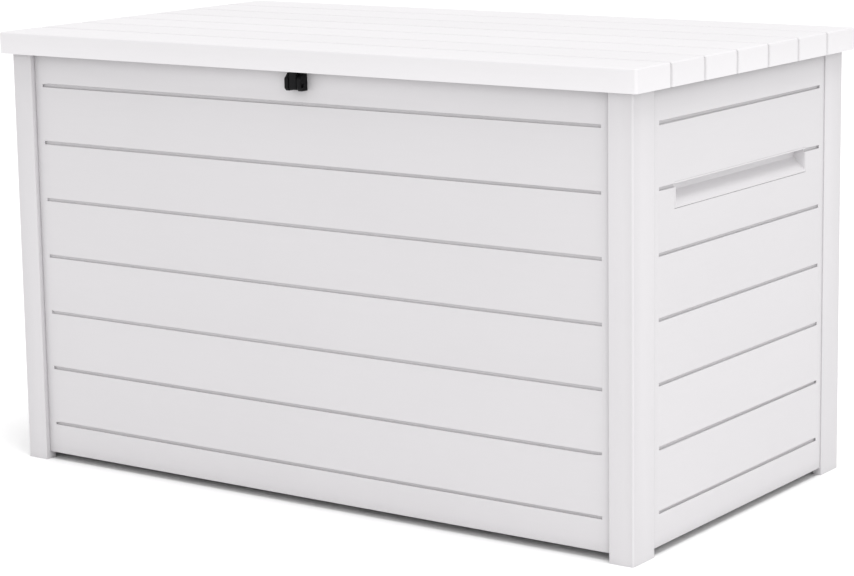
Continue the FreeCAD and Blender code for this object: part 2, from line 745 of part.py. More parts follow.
def lid_liner():
    """Flat inner skin of the lid with pressed fields, screwed up to the top shell."""
    body = new_body("lid_liner")
    outline = sketch_on(body, "outline", "XY_Plane", "dims.liner_bottom")
    clipped_rectangle(outline, "dims.liner_half_length", "-dims.liner_front", "dims.liner_back",
                      "dims.lid_corner_radius")
    pad(body, outline, "dims.liner_skin")
    field = sketch_on(body, "field", "XY_Plane", "dims.liner_bottom")
    rectangle(field, "-dims.field_left", "-dims.field_front",
              "-dims.field_left + dims.field_length", "-dims.field_front + dims.field_depth")
    pressed = pocket(body, field, "dims.liner_skin / 2", backwards=True)
    grid(body, pressed, ("X_Axis", "Y_Axis"),
         ("2 * dims.field_left - dims.field_length",
          "2 * dims.field_front - dims.field_depth - dims.field_shift"),
         ("dims.field_columns", "dims.field_rows"))
    holes = sketch_on(body, "screw_hole", "XY_Plane", "dims.liner_bottom")
    for across, back in LINER_SCREWS + HASP_SCREWS + STRUT_LID_SCREWS + LID_LEAF_SCREWS:
        circle(holes, across, back, SCREW_HOLE)
    pocket(body, holes, "dims.liner_skin", backwards=True)


def stiffening_bar(label, side):
    """Thin rectangular steel tube that lies on the liner along the lid."""
    body = new_body(label)
    middle = side + "dims.bar_offset"
    bottom = LINER_TOP + " + dims.fit_gap"
    section = sketch_on(body, "section", "YZ_Plane")
    rectangle(section, middle + " - dims.bar_width / 2", bottom,
              middle + " + dims.bar_width / 2", bottom + " + dims.bar_height")
    rectangle(section, middle + " - dims.bar_width / 2 + dims.bar_wall", bottom + " + dims.bar_wall",
              middle + " + dims.bar_width / 2 - dims.bar_wall", bottom + " + dims.bar_height - dims.bar_wall")
    pad(body, section, "dims.bar_length", both_ways=True)


# ---------------------------------------------------------------- hinges

def hinge_knuckle(body, name, start, length):
    """A round barrel along X about the hinge axis."""
    barrel = sketch_on(body, name, "YZ_Plane", start)
    circle(barrel, "dims.hinge_axis_back", "dims.hinge_axis_height", "dims.knuckle_radius")
    pad(body, barrel, length)


def box_leaf(label, place):
    """Plate on the back wall with two barrels, one each side of the lid's."""
    body = new_body(label)
    plate = sketch_on(body, "plate", "XZ_Plane", "-(%s + dims.leaf_thickness)" % FRONT_FACE)
    rectangle(plate, place + " - dims.leaf_half_width", "dims.leaf_bottom",
              place + " + dims.leaf_half_width", "dims.hinge_axis_height")
    pad(body, plate, "dims.leaf_thickness")
    inner = "(dims.knuckle_half_width + dims.knuckle_side_gap)"
    width = "dims.leaf_half_width - " + inner
    root = FRONT_FACE + " + dims.leaf_thickness / 2"
    barrel_front = "dims.hinge_axis_back - dims.knuckle_radius"
    barrel_bottom = "dims.hinge_axis_height - dims.knuckle_radius"
    for side, start in (("left", place + " - dims.leaf_half_width"), ("right", "%s + %s" % (place, inner))):
        # The arm is notched under the barrel, where the lid's back rim swings in.
        arm = sketch_on(body, side + "_arm", "YZ_Plane", start)
        polygon(arm, [
            (root, barrel_bottom + " - 2 * dims.knuckle_radius"),
            (barrel_front, barrel_bottom + " - dims.knuckle_radius"),
            (barrel_front, barrel_bottom),
            ("dims.hinge_axis_back", barrel_bottom),
            ("dims.hinge_axis_back", "dims.hinge_axis_height"),
            (root, "dims.hinge_axis_height"),
        ])
        pad(body, arm, width)
        hinge_knuckle(body, side + "_barrel", start, width)
    bore = sketch_on(body, "bore", "YZ_Plane", place)
    circle(bore, "dims.hinge_axis_back", "dims.hinge_axis_height", "dims.pin_radius")
    pocket(body, bore, "3 * dims.leaf_half_width", both_ways=True)
    holes = sketch_on(body, "screw_hole", "XZ_Plane", "-" + FRONT_FACE)
    for side in LEAF_SIDES:
        circle(holes, "%s %s" % (place, side), "dims.leaf_screw_height", SCREW_HOLE)
    pocket(body, holes, "3 * dims.leaf_thickness", both_ways=True)


def lid_leaf(label, place):
    """Plate above the liner with a web down to the middle barrel."""
    body = new_body(label)
    plate = sketch_on(body, "plate", "XY_Plane", LINER_TOP)
    web_back = "(dims.hinge_axis_back + dims.knuckle_radius / 2)"
    rectangle(plate, place + " - dims.leaf_half_width", "dims.lid_leaf_front",
              place + " + dims.leaf_half_width", web_back)
    pad(body, plate, "dims.lid_leaf_thickness")
    web = sketch_on(body, "web", "YZ_Plane", place)
    rectangle(web, "dims.hinge_axis_back - dims.knuckle_radius / 2", "dims.hinge_axis_height",
              web_back, LINER_TOP + " + dims.lid_leaf_thickness / 2")
    pad(body, web, "2 * dims.knuckle_half_width", both_ways=True)
    hinge_knuckle(body, "barrel", place + " - dims.knuckle_half_width", "2 * dims.knuckle_half_width")
    bore = sketch_on(body, "bore", "YZ_Plane", place)
    circle(bore, "dims.hinge_axis_back", "dims.hinge_axis_height", "dims.pin_radius + dims.pin_running_gap")
    pocket(body, bore, "4 * dims.knuckle_half_width", both_ways=True)
    holes = sketch_on(body, "screw_hole", "XY_Plane", LINER_TOP)
    for side in LEAF_SIDES:
        circle(holes, "%s %s" % (place, side), "dims.lid_leaf_screw_back", SCREW_HOLE)
    pocket(body, holes, "dims.lid_leaf_thickness", backwards=True)


def hinge_pin(label, place):
    """Straight pin with a flat head against the left barrel."""
    axis = ("dims.hinge_axis_back", "dims.hinge_axis_height")
    start = place + " - dims.leaf_half_width"
    shank = cylinder(label + "_shank", (start,) + axis, "+X", "dims.pin_radius",
                     "2 * dims.leaf_half_width + dims.pin_overhang")
    head = cylinder(label + "_head", (start,) + axis, "-X", "dims.pin_head_radius", "dims.pin_head_height")
    group(label, [shank, head])


# ---------------------------------------------------------------- padlock hasp and keeper

KEEPER_SCREWS = [("0", "dims.hasp_bottom + dims.keeper_screw_inset"),
                 ("0", "dims.hasp_top - dims.keeper_screw_inset")]


def lock_keeper():
    """Plate on the front wall with two ears for a padlock."""
    body = new_body("lock_keeper")
    plate = sketch_on(body, "plate", "XZ_Plane", FRONT_FACE)
    rectangle(plate, "-dims.hasp_half_width", "dims.hasp_bottom", "dims.hasp_half_width", "dims.hasp_top")
    pad(body, plate, "dims.hasp_plate")
    near = "-(%s + dims.hasp_plate / 2)" % FRONT_FACE
    far = "-(%s + dims.hasp_reach)" % FRONT_FACE
    for side, start in (("left", "-dims.hasp_half_width"),
                        ("right", "dims.hasp_half_width - dims.hasp_ear_thickness")):
        ear = sketch_on(body, side + "_ear", "YZ_Plane", start)
        polygon(ear, [
            (near, "dims.hasp_bottom"),
            (far + " + dims.ear_chamfer", "dims.hasp_bottom"),
            (far, "dims.hasp_bottom + dims.ear_chamfer"),
            (far, "dims.hasp_top - 2 * dims.ear_chamfer"),
            (far + " + 2 * dims.ear_chamfer", "dims.hasp_top"),
            (near, "dims.hasp_top"),
        ])
        pad(body, ear, "dims.hasp_ear_thickness")
    bore = sketch_on(body, "bore", "YZ_Plane")
    circle(bore, "-(%s + dims.padlock_hole_reach)" % FRONT_FACE, "dims.padlock_hole_height",
           "dims.padlock_hole_radius")
    pocket(body, bore, "3 * dims.hasp_half_width", both_ways=True)
    holes = sketch_on(body, "screw_hole", "XZ_Plane", FRONT_FACE)
    for across, up in KEEPER_SCREWS:
        circle(holes, across, up, SCREW_HOLE)
    pocket(body, holes, "dims.hasp_plate", backwards=True)


def lock_hasp():
    """Tongue under the lid's front rim that hangs between the keeper's ears."""
    body = new_body("lock_hasp")
    middle = "-(%s + dims.padlock_hole_reach)" % FRONT_FACE
    flange_bottom = "(dims.liner_bottom - dims.hasp_flange)"
    flange = sketch_on(body, "flange", "XY_Plane", flange_bottom)
    rectangle(flange, "-dims.hasp_half_width", middle + " - dims.hasp_flange_half_depth",
              "dims.hasp_half_width", middle + " + dims.hasp_flange_half_depth")
    pad(body, flange, "dims.hasp_flange")
    blade = sketch_on(body, "blade", "YZ_Plane")
    half = "dims.blade_half_depth"
    polygon(blade, [
        (middle + " - " + half, "dims.blade_bottom + dims.ear_chamfer / 2"),
        (middle + " - %s + dims.ear_chamfer / 2" % half, "dims.blade_bottom"),
        (middle + " + %s - dims.ear_chamfer / 2" % half, "dims.blade_bottom"),
        (middle + " + " + half, "dims.blade_bottom + dims.ear_chamfer / 2"),
        (middle + " + " + half, flange_bottom + " + dims.hasp_flange / 2"),
        (middle + " - " + half, flange_bottom + " + dims.hasp_flange / 2"),
    ])
    pad(body, blade, "2 * dims.blade_half_width", both_ways=True)
    bore = sketch_on(body, "bore", "YZ_Plane")
    circle(bore, middle, "dims.padlock_hole_height", "dims.padlock_hole_radius")
    pocket(body, bore, "3 * dims.blade_half_width", both_ways=True)
    holes = sketch_on(body, "screw_hole", "XY_Plane", flange_bottom)
    for across, back in HASP_SCREWS:
        circle(holes, across, back, SCREW_HOLE)
    pocket(body, holes, "dims.hasp_flange", backwards=True)


# ---------------------------------------------------------------- gas struts

SIDES = (("left", "-", -1), ("right", "", 1))
STRUT_LENGTH = ("sqrt(pow(dims.lid_pivot_back - dims.base_pivot_back; 2)"
                " + pow(dims.lid_pivot_height - dims.base_pivot_height; 2))")


def strut_placement(sign):
    """From a strut's own frame, base pivot at its origin and rod along +Z, to its place in the box."""
    lean = math.degrees(math.atan2(number("dims.lid_pivot_back - dims.base_pivot_back"),
                                   number("dims.lid_pivot_height - dims.base_pivot_height")))
    place = Vector(sign * number("dims.strut_place"), number("dims.base_pivot_back"),
                   number("dims.base_pivot_height"))
    upright = Rotation(Vector(1, 0, 0), -lean)
    about_itself = Rotation(Vector(0, 0, 1), 0 if sign > 0 else 180)
    return Placement(place, upright.multiply(about_itself))


def tube_of(label, start, outer, inner, length):
    """A round tube along +Z."""
    outside = cylinder(label + "_outside", ("0", "0", start), "+Z", outer, length)
    inside = cylinder(label + "_inside", ("0", "0", start), "+Z", inner, length)
    return cut(label, outside, inside)


def in_strut(label, piece, sign):
    """Make a piece built in the strut's frame into a sub-part at its place."""
    piece.Label = label
    piece.Placement = strut_placement(sign)
    subparts.append(piece)


def eye_flats(name, middle, half_height):
    """Two blocks that leave an eye's neck as thin as the eye round its pivot."""
    blocks = []
    starts = {"near": "dims.eye_thickness / 2", "far": "-dims.eye_thickness / 2 - 2 * dims.eye_radius"}
    for side, start in starts.items():
        block = doc.addObject("Part::Box", "%s_%s" % (name, side))
        block.setExpression("Length", "2 * dims.eye_radius")
        block.setExpression("Width", "4 * dims.eye_radius")
        block.setExpression("Height", "2 * (%s)" % half_height)
        block.setExpression("Placement.Base.x", start)
        block.setExpression("Placement.Base.y", "-2 * dims.eye_radius")
        block.setExpression("Placement.Base.z", "%s - (%s)" % (middle, half_height))
        blocks.append(block)
    return fuse(name, blocks)


def gas_strut(side, sign):
    name = side + "_strut_"
    tube_bore = "dims.tube_radius - dims.tube_wall"
    half_eye = "dims.eye_thickness / 2"

    # Base eye, with a plug that closes the tube's lower end.
    eye = cylinder(name + "eye_disc", ("-" + half_eye, "0", "0"), "+X",
                   "dims.eye_radius", "dims.eye_thickness")
    neck = cylinder(name + "eye_neck", ("0", "0", "0"), "+Z", "dims.neck_radius", "dims.tube_start")
    plug = cylinder(name + "eye_plug", ("0", "0", "dims.tube_start"), "+Z", tube_bore, "dims.eye_radius")
    bore = cylinder(name + "eye_bore", ("-dims.eye_thickness", "0", "0"), "+X",
                    "dims.stud_radius + dims.stud_running_gap", "2 * dims.eye_thickness")
    flats = eye_flats(name + "base_flats", "0", "dims.tube_start - dims.flat_gap")
    in_strut(name + "base_eye", cut(name + "base_eye", cut(name + "base_flat", fuse(
        name + "base_solid", [eye, neck, plug]), flats), bore), sign)

    # Pressure tube and the gland that guides the rod.
    in_strut(name + "tube", tube_of(name + "tube", "dims.tube_start", "dims.tube_radius", tube_bore,
                                    "dims.tube_length"), sign)
    tube_end = "dims.tube_start + dims.tube_length"
    seal = cylinder(name + "gland_seal", ("0", "0", tube_end + " - dims.gland_length"), "+Z",
                    tube_bore, "dims.gland_length")
    cap = cylinder(name + "gland_cap", ("0", "0", tube_end), "+Z", "dims.tube_radius",
                   "dims.gland_cap")
    guide = cylinder(name + "gland_guide", ("0", "0", tube_end + " - 2 * dims.gland_length"), "+Z",
                     "dims.rod_radius + dims.rod_slide_gap", "4 * dims.gland_length")
    in_strut(name + "gland", cut(name + "gland", fuse(name + "gland_solid", [seal, cap]), guide), sign)

    # Rod, its thread in the rod eye, and the piston on its inner end.
    collar_start = "(%s - 3 * dims.eye_radius)" % STRUT_LENGTH
    thread_end = "(%s - dims.eye_radius - dims.thread_stop)" % STRUT_LENGTH
    rod = cylinder(name + "rod_shank", ("0", "0", "dims.piston_start"), "+Z", "dims.rod_radius",
                   collar_start + " - dims.piston_start")
    thread = cylinder(name + "rod_thread", ("0", "0", collar_start), "+Z", "dims.thread_radius",
                      "%s - %s" % (thread_end, collar_start))
    in_strut(name + "rod", fuse(name + "rod", [rod, thread]), sign)
    in_strut(name + "piston", tube_of(name + "piston", "dims.piston_start",
                                      tube_bore + " - dims.rod_slide_gap", "dims.rod_radius",
                                      "dims.piston_length"), sign)

    # Rod eye with its stud, which reaches through the lid bracket's slot.
    top = ("0", "0", STRUT_LENGTH)
    disc = cylinder(name + "rod_disc", ("-" + half_eye,) + top[1:], "+X",
                    "dims.eye_radius", "dims.eye_thickness")
    collar = cylinder(name + "rod_collar", ("0", "0", collar_start), "+Z",
                      "dims.thread_radius + dims.collar_wall", "3 * dims.eye_radius")
    socket = cylinder(name + "rod_socket", ("0", "0", collar_start), "+Z", "dims.thread_radius",
                      "%s - %s" % (thread_end, collar_start))
    rod_flats = eye_flats(name + "rod_flats", STRUT_LENGTH, "dims.eye_radius")
    in_strut(name + "rod_eye", cut(name + "rod_eye", cut(name + "rod_flat", fuse(
        name + "rod_solid", [disc, collar]), rod_flats), fuse(name + "rod_holes", [
            socket,
            cylinder(name + "rod_bore", ("-dims.eye_thickness",) + top[1:], "+X", "dims.stud_radius",
                     "2 * dims.eye_thickness")])), sign)
    reach = "dims.lid_bracket_inset + dims.bracket_thickness + dims.stud_float"
    in_strut(name + "stud", fuse(name + "stud", [
        cylinder(name + "stud_shank", ("-" + half_eye,) + top[1:], "+X", "dims.stud_radius",
                 "%s + %s" % (half_eye, reach)),
        cylinder(name + "stud_head", ("-" + half_eye,) + top[1:], "-X", "dims.shoulder_radius",
                 "dims.washer_thickness"),
        cylinder(name + "stud_washer", (reach,) + top[1:], "+X",
                 "dims.washer_radius", "dims.washer_thickness"),
    ]), sign)


def strut_base_bracket(side, line, sign):
    """Plate on a rear post's inner face with the stud that the strut's base eye turns on."""
    body = new_body(side + "_strut_base_bracket")
    face = line + "(%s - dims.bracket_thickness)" % INNER_HALF_LENGTH
    plate = sketch_on(body, "plate", "YZ_Plane", face)
    rectangle(plate, "dims.base_pivot_back - dims.base_bracket_front",
              "dims.base_pivot_height - dims.base_bracket_half_height",
              "dims.base_pivot_back + dims.base_bracket_back",
              "dims.base_pivot_height + dims.base_bracket_half_height")
    outwards = sign < 0
    pad(body, plate, "dims.bracket_thickness", backwards=outwards)
    pivot = ("dims.base_pivot_back", "dims.base_pivot_height")
    shoulder = sketch_on(body, "shoulder", "YZ_Plane", face)
    circle(shoulder, pivot[0], pivot[1], "dims.shoulder_radius")
    gap = "%s - dims.bracket_thickness - dims.strut_place - dims.eye_thickness / 2" % INNER_HALF_LENGTH
    pad(body, shoulder, gap + " - dims.loose_gap", backwards=not outwards)
    stud = sketch_on(body, "stud", "YZ_Plane", face)
    circle(stud, pivot[0], pivot[1], "dims.stud_radius")
    pad(body, stud, gap + " + dims.eye_thickness + 3 * dims.washer_thickness", backwards=not outwards)
    holes = sketch_on(body, "screw_hole", "YZ_Plane", face)
    for back, height in BRACKET_SCREWS:
        circle(holes, back, height, SCREW_HOLE)
    pocket(body, holes, "3 * dims.bracket_thickness", both_ways=True)


def strut_clips():
    """Spring clips that keep the base eyes on their studs."""
    clips = []
    for side, line, sign in SIDES:
        inner_face = "%s(dims.strut_place - dims.eye_thickness / 2 - dims.loose_gap)" % line
        place = (inner_face, "dims.base_pivot_back", "dims.base_pivot_height")
        direction = "-X" if sign > 0 else "+X"
        disc = cylinder(side + "_clip_disc", place, direction, "dims.clip_radius", "dims.washer_thickness")
        hole = cylinder(side + "_clip_hole", place, direction, "dims.stud_radius", "dims.washer_thickness")
        clips.append(cut(side + "_clip", disc, hole))
    group("strut_base_clips", clips)


def strut_lid_bracket(side, line, sign):
    """Angle bracket under the lid. Its slot leaves the rod's stud room to wander as the lid swings."""
    body = new_body(side + "_strut_lid_bracket")
    near = "%s(dims.strut_place + dims.lid_bracket_inset)" % line
    web = sketch_on(body, "web", "YZ_Plane", near)
    rectangle(web, "dims.lid_pivot_back - dims.lid_bracket_front",
              "dims.lid_pivot_height - dims.lid_bracket_drop",
              "dims.lid_pivot_back + dims.lid_bracket_back", "dims.liner_bottom")
    pad(body, web, "dims.bracket_thickness", backwards=sign < 0)
    flange = sketch_on(body, "flange", "XY_Plane", "dims.liner_bottom - dims.bracket_thickness")
    outer = "%s(dims.strut_place + dims.lid_bracket_inset + dims.bracket_thickness)" % line
    inner = "%s(dims.strut_place + dims.lid_bracket_inset - dims.lid_bracket_flange)" % line
    rectangle(flange, outer, "dims.lid_pivot_back - dims.lid_bracket_front",
              inner, "dims.lid_pivot_back + dims.lid_bracket_back")
    pad(body, flange, "dims.bracket_thickness")

    slot = sketch_on(body, "slot", "YZ_Plane", near)
    half = "dims.slot_half_width"
    corner = "dims.slot_half_width / 2"
    start = "(-%s)" % half
    end = "(dims.slot_travel + %s)" % half
    shoulder = "dims.slot_travel + " + corner
    outline = [(start, "-" + corner), ("-" + corner, "-" + half), (shoulder, "-" + half), (end, "-" + corner),
               (end, corner), (shoulder, half), ("-" + corner, half), (start, corner)]
    slope = "dims.slot_slope * 1 deg"
    polygon(slot, [
        ("dims.lid_pivot_back + (%s) * cos(%s) - (%s) * sin(%s)" % (along, slope, aside, slope),
         "dims.lid_pivot_height + (%s) * sin(%s) + (%s) * cos(%s)" % (along, slope, aside, slope))
        for along, aside in outline
    ])
    pocket(body, slot, "3 * dims.bracket_thickness", both_ways=True)
    holes = sketch_on(body, "screw_hole", "XY_Plane", "dims.liner_bottom")
    for across, back in STRUT_LID_SCREWS:
        if across.startswith("-") == (sign < 0):
            circle(holes, across, back, SCREW_HOLE)
    pocket(body, holes, "dims.bracket_thickness")


# ---------------------------------------------------------------- the whole box

def all_screws():
    """Every group of screws, each under the part that its heads hold."""
    keeper_face = "-(%s + dims.hasp_plate)" % FRONT_FACE
    screws("lock_keeper_screws", [(across, keeper_face, up) for across, up in KEEPER_SCREWS],
           "+Y", "3 * dims.hasp_plate")
    leaf_face = FRONT_FACE + " + dims.leaf_thickness"
    screws("hinge_box_leaf_screws",
           [("%s %s" % (place, side), leaf_face, "dims.leaf_screw_height")
            for place in HINGE_PLACES for side in LEAF_SIDES], "-Y", "4 * dims.leaf_thickness")
    under = "dims.liner_bottom"
    lid_length = "dims.boss_screw_length"
    screws("lid_liner_screws", [(across, back, under) for across, back in LINER_SCREWS], "+Z", lid_length)
    screws("hinge_lid_leaf_screws", [(across, back, under) for across, back in LID_LEAF_SCREWS],
           "+Z", "dims.liner_skin + dims.lid_leaf_thickness")
    screws("lock_hasp_screws",
           [(across, back, under + " - dims.hasp_flange") for across, back in HASP_SCREWS],
           "+Z", lid_length + " + dims.hasp_flange")
    screws("strut_lid_bracket_screws",
           [(across, back, under + " - dims.bracket_thickness") for across, back in STRUT_LID_SCREWS],
           "+Z", lid_length + " + dims.bracket_thickness")
    for side, line, sign in SIDES:
        face = "%s(%s - dims.bracket_thickness)" % (line, INNER_HALF_LENGTH)
        screws(side + "_strut_base_bracket_screws",
               [(face, back, height) for back, height in BRACKET_SCREWS],
               "+X" if sign > 0 else "-X", "3 * dims.bracket_thickness")
        flange = "%s(%s - dims.pocket_wall)" % (line, INNER_HALF_LENGTH)
        screws(side + "_handle_cup_screws", [(flange, across, up) for across, up in CUP_SCREWS],
               "+X" if sign > 0 else "-X", "4 * dims.pocket_wall")


def build():
    back_holes = [("%s %s" % (place, side), "dims.leaf_screw_height")
                  for place in HINGE_PLACES for side in LEAF_SIDES]
    long_wall("front_panel", False, KEEPER_SCREWS)
    long_wall("back_panel", True, back_holes)
    end_wall("right_side_panel", False)
    end_wall("left_side_panel", True)
    handle_cup("right_handle_cup", False)
    handle_cup("left_handle_cup", True)
    corner_post("front_left_post", mirrored=False, turned=False, holds_strut=False)
    corner_post("front_right_post", mirrored=True, turned=False, holds_strut=False)
    corner_post("rear_right_post", mirrored=False, turned=True, holds_strut=True)
    corner_post("rear_left_post", mirrored=True, turned=True, holds_strut=True)
    floor_panel()
    lid_top_shell()
    lid_liner()
    stiffening_bar("front_stiffening_bar", "-")
    stiffening_bar("rear_stiffening_bar", "")
    for count, place in enumerate(HINGE_PLACES, start=1):
        box_leaf("hinge_%d_box_leaf" % count, place)
        lid_leaf("hinge_%d_lid_leaf" % count, place)
        hinge_pin("hinge_%d_pin" % count, place)
    lock_keeper()
    lock_hasp()
    for side, line, sign in SIDES:
        gas_strut(side, sign)
        strut_base_bracket(side, line, sign)
        strut_lid_bracket(side, line, sign)
    strut_clips()
    all_screws()


def check():
    """Stop before anything is written if an object failed or a sub-part is not a valid solid."""
    doc.recompute()
    for thing in doc.Objects:
        if "Invalid" in thing.State or "Error" in thing.State:
            raise RuntimeError("%s is %s" % (thing.Name, thing.State))
    for piece in subparts:
        shape = piece.Shape
        if shape.isNull() or not shape.isValid() or not shape.Solids:
            raise RuntimeError("%s has no valid solid" % piece.Label)


def write():
    os.makedirs("parts", exist_ok=True)
    for piece in subparts:
        piece.Shape.exportStep("parts/%s.step" % piece.Label)
        box = piece.Shape.BoundBox
        print("%-32s %2d solids %12.0f mm3  x %8.2f %8.2f  y %8.2f %8.2f  z %8.2f %8.2f" % (
            piece.Label, len(piece.Shape.Solids), piece.Shape.Volume,
            box.XMin, box.XMax, box.YMin, box.YMax, box.ZMin, box.ZMax))


build()
check()
write()
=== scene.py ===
import json
import math

import bmesh
import bpy
from mathutils import Matrix, Vector


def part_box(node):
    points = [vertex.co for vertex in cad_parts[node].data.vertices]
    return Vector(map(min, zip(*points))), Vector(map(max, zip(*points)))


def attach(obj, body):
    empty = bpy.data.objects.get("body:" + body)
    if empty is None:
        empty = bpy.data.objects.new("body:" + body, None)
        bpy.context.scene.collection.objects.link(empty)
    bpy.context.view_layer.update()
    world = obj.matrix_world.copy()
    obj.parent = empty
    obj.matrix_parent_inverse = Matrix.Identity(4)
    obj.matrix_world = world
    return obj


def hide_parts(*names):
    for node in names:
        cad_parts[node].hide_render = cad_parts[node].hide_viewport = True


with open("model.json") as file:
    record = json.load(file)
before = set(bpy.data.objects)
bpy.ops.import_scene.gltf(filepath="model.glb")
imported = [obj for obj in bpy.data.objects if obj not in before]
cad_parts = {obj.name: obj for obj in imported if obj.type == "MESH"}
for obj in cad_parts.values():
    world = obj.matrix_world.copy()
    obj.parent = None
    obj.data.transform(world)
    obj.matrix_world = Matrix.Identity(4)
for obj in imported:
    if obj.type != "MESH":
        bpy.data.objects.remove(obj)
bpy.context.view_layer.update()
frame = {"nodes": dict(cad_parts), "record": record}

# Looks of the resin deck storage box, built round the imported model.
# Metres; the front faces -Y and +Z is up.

NODES = frame["nodes"]
BODIES = frame["record"]["behaviour"]["bodies"]
NODE_BODY = {node: body for body, nodes in BODIES.items() for node in nodes}
NODE_SLOT = {entry["node"]: entry["material_slot"] for entry in frame["record"]["subparts"]}

MM = 0.001
BOARD_PITCH = 115 * MM          # from groove to groove on the walls
TOP_GROOVE = 767 * MM           # height of the highest wall groove
PLANK_COUNT = 7                 # planks on the lid
LID_CORNER = 6 * MM             # radius of the lid's upright corners
LID_EDGE = 4 * MM               # radius along the lid's top edge
LID_SKIN = 3 * MM               # thickness of the lid's outer skin
PLANK_GROOVE_DEPTH = 4.5 * MM
PLANK_GROOVE_HALF = 5.0 * MM    # from a plank joint's middle to where the plank is level again

RESIN = (0.622, 0.608, 0.622)
# a lit copy of the resin, painted lighter for the lid, its liner and the hinge leaves, standing in for
# the light on the lid
RESIN_LID = (0.675, 0.662, 0.675)
SHADED_DEPTH = 35 * MM          # how near the lid's rim has to be for the painted shade to darken a wall under it

# how pointed an edge is before it gets a painted highlight, how fast it then gets paler, and its palest
HIGHLIGHT_POINTINESS = 0.52
HIGHLIGHT_GAIN = 0.8
HIGHLIGHT_LIMIT = 1.06

# radii of the softened edges
PANEL_ROUND = 1.3 * MM
FLOOR_ROUND = 1.0 * MM
LOCK_ROUND = 1.0 * MM
CUP_ROUND = 0.9 * MM
THIN_ROUND = 0.6 * MM           # hinge leaves and the lid's liner
POST_ROUND = 0.5 * MM
METAL_ROUND = 0.4 * MM

LONG_EDGE = 6 * MM              # the shortest edge that is softened
SMALL_EDGE = 3 * MM             # the same on a small piece
SHARP_ANGLE = math.radians(35)  # a softened edge turns by more than this
FLAT_ANGLE = math.radians(0.5)  # faces that turn by less than this are joined
SAME_PLACE = 1e-6               # points nearer than this are joined
CUT_TOLERANCE = 1e-7

# wood grain: how tightly the noise is packed along and across the boards, and how far one board's
# pattern is from the next along X, with a step more on each further axis
ALONG_GRAIN = 2.2
ACROSS_GRAIN = 38
BOARD_SHIFT = 3.71
BOARD_SHIFT_STEP = 1.37

# places of the cuts across a plank joint, as shares of its half width
JOINT_CUTS = (-1.6, -1.0, -0.75, -0.5, -0.25, 0, 0.25, 0.5, 0.75, 1.0, 1.6)
LID_BAYS = 24                   # equal lengths that the planks' long faces are cut into

SKY_STRENGTH = 0.92
SUN_STRENGTH = 1.45
SUN_SPREAD = 30                 # degrees
SUN_DIRECTION = (-0.25, 0.10, -0.95)
KEY_PLACE = (2.6, -2.4, 1.6)
KEY_TARGET = (0.7, -0.4, 0.5)
KEY_SIZE = 1.2
KEY_POWER = 12

CAMERA_PLACE = (2.921, -4.113, 1.345)
CAMERA_YAW = math.radians(35.29)
CAMERA_PITCH = math.radians(9.98)
CAMERA_ROLL = math.radians(-0.88)
CAMERA_LENS = 108.8             # millimetres, as is the sensor
CAMERA_SENSOR = 36
CAMERA_SHIFT = -0.0585
CAMERA_REACH = 200
FLOOR_HALF = 40                 # from the floor's middle to its edge


# ---------------------------------------------------------------- materials

def new_material(name, base, roughness):
    """A new material, its node tree and its shader."""
    material = bpy.data.materials.new(name)
    material.use_nodes = True
    tree = material.node_tree
    shader = tree.nodes["Principled BSDF"]
    shader.inputs["Base Color"].default_value = (*base, 1)
    shader.inputs["Roughness"].default_value = roughness
    return material, tree, shader


def add(tree, kind, **settings):
    """A node of a kind with some of its settings."""
    node = tree.nodes.new(kind)
    for key, value in settings.items():
        setattr(node, key, value)
    return node


def math_node(tree, operation, first, second=None):
    """A math node fed by sockets or plain numbers; returns its output."""
    node = add(tree, "ShaderNodeMath", operation=operation)
    for place, value in enumerate((first, second)):
        if value is None:
            continue
        if isinstance(value, (int, float)):
            node.inputs[place].default_value = value
        else:
            tree.links.new(value, node.inputs[place])
    return node.outputs[0]


def between(tree, value, low, high):
    """A number that is low where the value is 0 and high where it is 1."""
    return math_node(tree, "ADD", math_node(tree, "MULTIPLY", value, high - low), low)


def weighted(tree, *terms):
    """The sum of some outputs, each times its weight."""
    total = None
    for value, weight in terms:
        part = math_node(tree, "MULTIPLY", value, weight)
        total = part if total is None else math_node(tree, "ADD", total, part)
    return total


def noise(tree, vector, scale, detail=3.0, roughness=0.5):
    """The output of a noise texture."""
    node = add(tree, "ShaderNodeTexNoise")
    node.inputs["Scale"].default_value = scale
    node.inputs["Detail"].default_value = detail
    node.inputs["Roughness"].default_value = roughness
    tree.links.new(vector, node.inputs["Vector"])
    return node.outputs["Fac"]


def raised(tree, shader, height, strength, distance):
    """Fine relief on a shader from a height."""
    bump = add(tree, "ShaderNodeBump")
    bump.inputs["Strength"].default_value = strength
    bump.inputs["Distance"].default_value = distance
    tree.links.new(height, bump.inputs["Height"])
    tree.links.new(bump.outputs["Normal"], shader.inputs["Normal"])


def board_number(tree, coordinates, across, pitch, start):
    """Which board a point lies on, counted along one axis."""
    split = add(tree, "ShaderNodeSeparateXYZ")
    tree.links.new(coordinates, split.inputs[0])
    along = math_node(tree, "SUBTRACT", split.outputs[across], start)
    return math_node(tree, "FLOOR", math_node(tree, "DIVIDE", along, pitch))


def grain_space(tree, coordinates, run, board):
    """Coordinates squeezed across the grain and slid along it by a different amount on each board."""
    stretch = [ALONG_GRAIN if axis == run else ACROSS_GRAIN for axis in "XYZ"]
    slide = add(tree, "ShaderNodeCombineXYZ")
    for place in range(3):
        shift = math_node(tree, "MULTIPLY", board, BOARD_SHIFT + BOARD_SHIFT_STEP * place)
        tree.links.new(shift, slide.inputs[place])
    scaled = add(tree, "ShaderNodeVectorMath", operation="MULTIPLY")
    tree.links.new(coordinates, scaled.inputs[0])
    scaled.inputs[1].default_value = stretch
    moved = add(tree, "ShaderNodeVectorMath", operation="ADD")
    tree.links.new(scaled.outputs[0], moved.inputs[0])
    tree.links.new(slide.outputs[0], moved.inputs[1])
    return moved.outputs[0]


